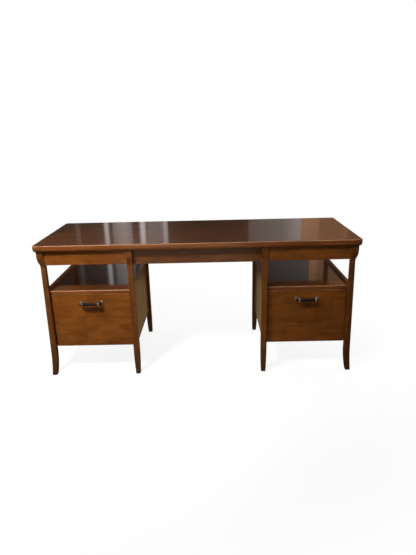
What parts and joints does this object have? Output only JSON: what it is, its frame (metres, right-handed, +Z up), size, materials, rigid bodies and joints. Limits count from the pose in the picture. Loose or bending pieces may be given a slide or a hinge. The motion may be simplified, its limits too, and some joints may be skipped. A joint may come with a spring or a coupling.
{
  "type": "partners desk",
  "caption": "Wooden desk on sabre legs with corbelled tops: a kneehole with a locking pencil drawer between file pedestals under open shelves, bar pulls with dark grips.",
  "frame": {"origin": "on the floor under the middle of the top", "axes": "+X to the sitter's right along the width, +Y from the sitter towards the back, +Z up"},
  "size_m": [1.694, 0.604, 0.75],
  "materials": {
    "top_wood": "polished clear lacquer over red-brown stain",
    "leg_wood": "satin lacquer over brown stain, grain upright",
    "case_wood": "satin lacquer over brown stain, grain level",
    "drawer_front_wood": "satin lacquer over brown stain, grain level",
    "drawer_box_wood": "thin sealer on pale hardwood",
    "ebonised_wood": "black stain under gloss lacquer",
    "pewter": "polished pewter plating",
    "dark_bronze": "dark bronze lacquer",
    "lock_brass": "lacquered brass, slightly dulled"
  },
  "bodies": {
    "desk_frame": {"top": "top_wood", "rear_center_apron": "case_wood", "left_front_corner_leg": "leg_wood", "right_front_corner_leg": "leg_wood", "left_front_inner_leg": "leg_wood", "right_front_inner_leg": "leg_wood", "left_rear_corner_leg": "leg_wood", "right_rear_corner_leg": "leg_wood", "left_rear_inner_leg": "leg_wood", "right_rear_inner_leg": "leg_wood", "left_front_apron": "case_wood", "right_front_apron": "case_wood", "left_rear_apron": "case_wood", "right_rear_apron": "case_wood", "left_end_apron": "case_wood", "right_end_apron": "case_wood", "left_cross_rail": "case_wood", "right_cross_rail": "case_wood", "left_pedestal_outer_side": "case_wood", "right_pedestal_outer_side": "case_wood", "left_pedestal_inner_side": "case_wood", "right_pedestal_inner_side": "case_wood", "left_pedestal_shelf": "case_wood", "right_pedestal_shelf": "case_wood", "left_pedestal_bottom": "case_wood", "right_pedestal_bottom": "case_wood", "left_pedestal_back": "case_wood", "right_pedestal_back": "case_wood", "file_drawer_runners": "drawer_box_wood", "pencil_drawer_runners": "drawer_box_wood", "glue_blocks": "drawer_box_wood"},
    "pencil_drawer": {"pencil_drawer_front": "drawer_front_wood", "pencil_drawer_left_side": "drawer_box_wood", "pencil_drawer_right_side": "drawer_box_wood", "pencil_drawer_back": "drawer_box_wood", "pencil_drawer_bottom": "drawer_box_wood", "lock_case": "lock_brass"},
    "lock_plug": {"lock_plug": "lock_brass"},
    "lock_bolt": {"lock_bolt": "lock_brass"},
    "left_file_drawer": {"left_file_drawer_front": "drawer_front_wood", "left_file_drawer_inner_side": "drawer_box_wood", "left_file_drawer_outer_side": "drawer_box_wood", "left_file_drawer_back": "drawer_box_wood", "left_file_drawer_bottom": "drawer_box_wood", "left_pull_rod": "dark_bronze", "left_pull_grip": "ebonised_wood", "left_pull_collars": "pewter", "left_pull_rosettes": "pewter"},
    "right_file_drawer": {"right_file_drawer_front": "drawer_front_wood", "right_file_drawer_inner_side": "drawer_box_wood", "right_file_drawer_outer_side": "drawer_box_wood", "right_file_drawer_back": "drawer_box_wood", "right_file_drawer_bottom": "drawer_box_wood", "right_pull_rod": "dark_bronze", "right_pull_grip": "ebonised_wood", "right_pull_collars": "pewter", "right_pull_rosettes": "pewter"}
  },
  "joints": [
    {"name": "pencil_drawer_slide", "type": "slide", "parent": "desk_frame", "child": "pencil_drawer", "axis": [0, -1, 0], "range_m": [0, 0.32]},
    {"name": "left_file_drawer_slide", "type": "slide", "parent": "desk_frame", "child": "left_file_drawer", "axis": [0, -1, 0], "range_m": [0, 0.36]},
    {"name": "right_file_drawer_slide", "type": "slide", "parent": "desk_frame", "child": "right_file_drawer", "axis": [0, -1, 0], "range_m": [0, 0.36]},
    {"name": "lock_turn", "type": "hinge", "parent": "pencil_drawer", "child": "lock_plug", "pos_m": [0, -0.262, 0.67225], "axis": [0, -1, 0], "range_deg": [0, 90]},
    {"name": "bolt_throw", "type": "slide", "parent": "pencil_drawer", "child": "lock_bolt", "axis": [0, 0, 1], "range_m": [0, 0.00785]}
  ],
  "couplings": [
    {"joint": "lock_turn", "follows": "bolt_throw", "rad_per_m": 200}
  ]
}
